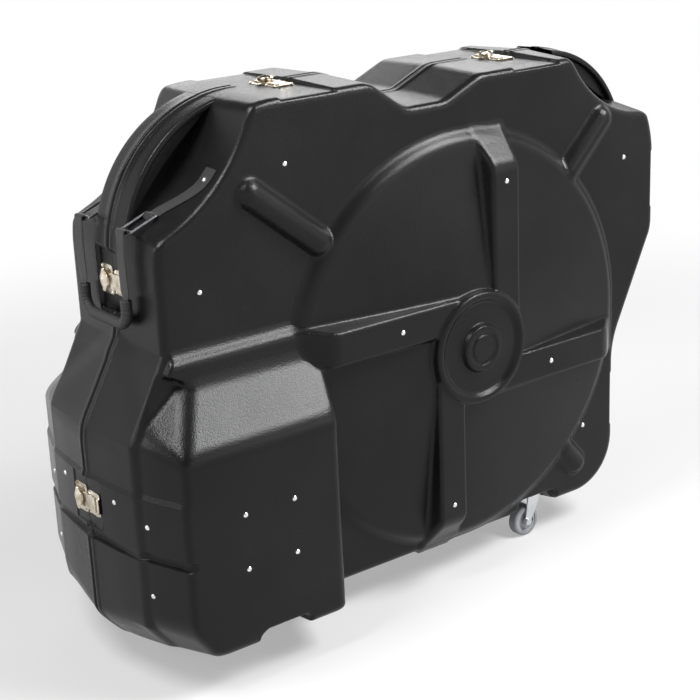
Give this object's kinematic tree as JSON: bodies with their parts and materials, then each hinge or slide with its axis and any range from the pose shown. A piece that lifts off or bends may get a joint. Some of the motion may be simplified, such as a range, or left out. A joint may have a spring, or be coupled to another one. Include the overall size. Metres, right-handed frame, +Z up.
{
  "type": "bike travel case",
  "caption": "Moulded clamshell travel case for a bicycle, hinged along the bottom, with turn latches, swivel castors, scooped grip corners and a swing-out pull handle.",
  "frame": {"origin": "on the floor under the middle of the case", "axes": "+X along the case away from the pull handle, -Y out of the front half, +Z up"},
  "size_m": [1.1633, 0.4564, 0.9043],
  "materials": {
    "black_shell": "fine leather grain, satin",
    "grey_foam": "foam sheet",
    "black_webbing": "woven webbing",
    "black_rubber": "smooth soft rubber",
    "black_nylon": "moulded nylon",
    "grey_tyre": "dark grey soft tyre",
    "grey_nylon": "moulded nylon",
    "zinc_steel": "zinc plated",
    "nickel_plate": "nickel plated"
  },
  "bodies": {
    "rear_half": {"rear_shell": "black_shell", "rear_rivets": "nickel_plate", "seam_gasket": "black_rubber", "rear_hinge_leaves": "zinc_steel", "hinge_pins": "zinc_steel", "latch_plates": "nickel_plate", "latch_plate_rivets": "nickel_plate", "rear_castor_plates": "zinc_steel", "rear_castor_screws": "zinc_steel", "rear_pad": "grey_foam", "rear_tie_straps": "black_webbing", "rear_tie_buckles": "black_nylon", "rear_anchor_strap": "black_webbing", "rear_handle_clip": "zinc_steel"},
    "front_half": {"front_shell": "black_shell", "front_rivets": "nickel_plate", "front_hinge_leaves": "zinc_steel", "latch_keepers": "nickel_plate", "latch_keeper_rivets": "nickel_plate", "front_castor_plates": "zinc_steel", "front_castor_screws": "zinc_steel", "front_pad": "grey_foam", "front_tie_straps": "black_webbing", "front_tie_buckles": "black_nylon", "front_anchor_strap": "black_webbing", "front_handle_clip": "zinc_steel"},
    "pull_handle": {"handle_straps": "black_webbing", "handle_grip": "black_rubber"},
    "latch_wing_body_top_left": {"latch_wing_top_left": "nickel_plate"},
    "latch_hook_body_top_left": {"latch_hook_top_left": "nickel_plate"},
    "latch_wing_body_top_right": {"latch_wing_top_right": "nickel_plate"},
    "latch_hook_body_top_right": {"latch_hook_top_right": "nickel_plate"},
    "latch_wing_body_left_upper": {"latch_wing_left_upper": "nickel_plate"},
    "latch_hook_body_left_upper": {"latch_hook_left_upper": "nickel_plate"},
    "latch_wing_body_left_lower": {"latch_wing_left_lower": "nickel_plate"},
    "latch_hook_body_left_lower": {"latch_hook_left_lower": "nickel_plate"},
    "latch_wing_body_right_upper": {"latch_wing_right_upper": "nickel_plate"},
    "latch_hook_body_right_upper": {"latch_hook_right_upper": "nickel_plate"},
    "latch_wing_body_right_lower": {"latch_wing_right_lower": "nickel_plate"},
    "latch_hook_body_right_lower": {"latch_hook_right_lower": "nickel_plate"},
    "castor_fork_body_front_right": {"castor_fork_front_right": "zinc_steel", "castor_axle_front_right": "zinc_steel"},
    "castor_wheel_body_front_right": {"castor_hub_front_right": "grey_nylon", "castor_tyre_front_right": "grey_tyre"},
    "castor_fork_body_front_left": {"castor_fork_front_left": "zinc_steel", "castor_axle_front_left": "zinc_steel"},
    "castor_wheel_body_front_left": {"castor_hub_front_left": "grey_nylon", "castor_tyre_front_left": "grey_tyre"},
    "castor_fork_body_rear_right": {"castor_fork_rear_right": "zinc_steel", "castor_axle_rear_right": "zinc_steel"},
    "castor_wheel_body_rear_right": {"castor_hub_rear_right": "grey_nylon", "castor_tyre_rear_right": "grey_tyre"},
    "castor_fork_body_rear_left": {"castor_fork_rear_left": "zinc_steel", "castor_axle_rear_left": "zinc_steel"},
    "castor_wheel_body_rear_left": {"castor_hub_rear_left": "grey_nylon", "castor_tyre_rear_left": "grey_tyre"}
  },
  "joints": [
    {"name": "case_hinge", "type": "hinge", "parent": "rear_half", "child": "front_half", "pos_m": [0, 0, 0.034], "axis": [1, 0, 0], "range_deg": [0, 90]},
    {"name": "handle_swing", "type": "hinge", "parent": "rear_half", "child": "pull_handle", "pos_m": [-0.50505, 0, 0.724], "axis": [0, 1, 0], "range_deg": [0, 90]},
    {"name": "wing_turn_top_left", "type": "hinge", "parent": "rear_half", "child": "latch_wing_body_top_left", "pos_m": [-0.17735, 0.02, 0.894], "axis": [0, 0, 1], "range_deg": [0, 180]},
    {"name": "hook_slide_top_left", "type": "slide", "parent": "rear_half", "child": "latch_hook_body_top_left", "axis": [0, -1, 0], "range_m": [0, 0.006]},
    {"name": "wing_turn_top_right", "type": "hinge", "parent": "rear_half", "child": "latch_wing_body_top_right", "pos_m": [0.29565, 0.02, 0.878], "axis": [0, 0, 1], "range_deg": [0, 180]},
    {"name": "hook_slide_top_right", "type": "slide", "parent": "rear_half", "child": "latch_hook_body_top_right", "axis": [0, -1, 0], "range_m": [0, 0.006]},
    {"name": "wing_turn_left_upper", "type": "hinge", "parent": "rear_half", "child": "latch_wing_body_left_upper", "pos_m": [-0.49035, 0.02, 0.631], "axis": [-1, 0, 0], "range_deg": [0, 180]},
    {"name": "hook_slide_left_upper", "type": "slide", "parent": "rear_half", "child": "latch_hook_body_left_upper", "axis": [0, -1, 0], "range_m": [0, 0.006]},
    {"name": "wing_turn_left_lower", "type": "hinge", "parent": "rear_half", "child": "latch_wing_body_left_lower", "pos_m": [-0.57135, 0.02, 0.288], "axis": [-1, 0, 0], "range_deg": [0, 180]},
    {"name": "hook_slide_left_lower", "type": "slide", "parent": "rear_half", "child": "latch_hook_body_left_lower", "axis": [0, -1, 0], "range_m": [0, 0.006]},
    {"name": "wing_turn_right_upper", "type": "hinge", "parent": "rear_half", "child": "latch_wing_body_right_upper", "pos_m": [0.56365, 0.02, 0.636], "axis": [1, 0, 0], "range_deg": [0, 180]},
    {"name": "hook_slide_right_upper", "type": "slide", "parent": "rear_half", "child": "latch_hook_body_right_upper", "axis": [0, -1, 0], "range_m": [0, 0.006]},
    {"name": "wing_turn_right_lower", "type": "hinge", "parent": "rear_half", "child": "latch_wing_body_right_lower", "pos_m": [0.46365, 0.02, 0.228], "axis": [1, 0, 0], "range_deg": [0, 180]},
    {"name": "hook_slide_right_lower", "type": "slide", "parent": "rear_half", "child": "latch_hook_body_right_lower", "axis": [0, -1, 0], "range_m": [0, 0.006]},
    {"name": "castor_swivel_front_right", "type": "hinge", "parent": "front_half", "child": "castor_fork_body_front_right", "pos_m": [0.28165, -0.104, 0.086], "axis": [0, 0, 1], "continuous": true},
    {"name": "castor_roll_front_right", "type": "hinge", "parent": "castor_fork_body_front_right", "child": "castor_wheel_body_front_right", "pos_m": [0.26365, -0.104, 0.029], "axis": [0, 1, 0], "continuous": true},
    {"name": "castor_swivel_front_left", "type": "hinge", "parent": "front_half", "child": "castor_fork_body_front_left", "pos_m": [-0.34835, -0.104, 0.086], "axis": [0, 0, 1], "continuous": true},
    {"name": "castor_roll_front_left", "type": "hinge", "parent": "castor_fork_body_front_left", "child": "castor_wheel_body_front_left", "pos_m": [-0.36635, -0.104, 0.029], "axis": [0, 1, 0], "continuous": true},
    {"name": "castor_swivel_rear_right", "type": "hinge", "parent": "rear_half", "child": "castor_fork_body_rear_right", "pos_m": [0.28165, 0.104, 0.086], "axis": [0, 0, 1], "continuous": true},
    {"name": "castor_roll_rear_right", "type": "hinge", "parent": "castor_fork_body_rear_right", "child": "castor_wheel_body_rear_right", "pos_m": [0.26365, 0.104, 0.029], "axis": [0, 1, 0], "continuous": true},
    {"name": "castor_swivel_rear_left", "type": "hinge", "parent": "rear_half", "child": "castor_fork_body_rear_left", "pos_m": [-0.34835, 0.104, 0.086], "axis": [0, 0, 1], "continuous": true},
    {"name": "castor_roll_rear_left", "type": "hinge", "parent": "castor_fork_body_rear_left", "child": "castor_wheel_body_rear_left", "pos_m": [-0.36635, 0.104, 0.029], "axis": [0, 1, 0], "continuous": true}
  ],
  "couplings": [
    {"joint": "wing_turn_top_left", "follows": "hook_slide_top_left", "rad_per_m": 523.6},
    {"joint": "wing_turn_top_right", "follows": "hook_slide_top_right", "rad_per_m": 523.6},
    {"joint": "wing_turn_left_upper", "follows": "hook_slide_left_upper", "rad_per_m": 523.6},
    {"joint": "wing_turn_left_lower", "follows": "hook_slide_left_lower", "rad_per_m": 523.6},
    {"joint": "wing_turn_right_upper", "follows": "hook_slide_right_upper", "rad_per_m": 523.6},
    {"joint": "wing_turn_right_lower", "follows": "hook_slide_right_lower", "rad_per_m": 523.6}
  ]
}
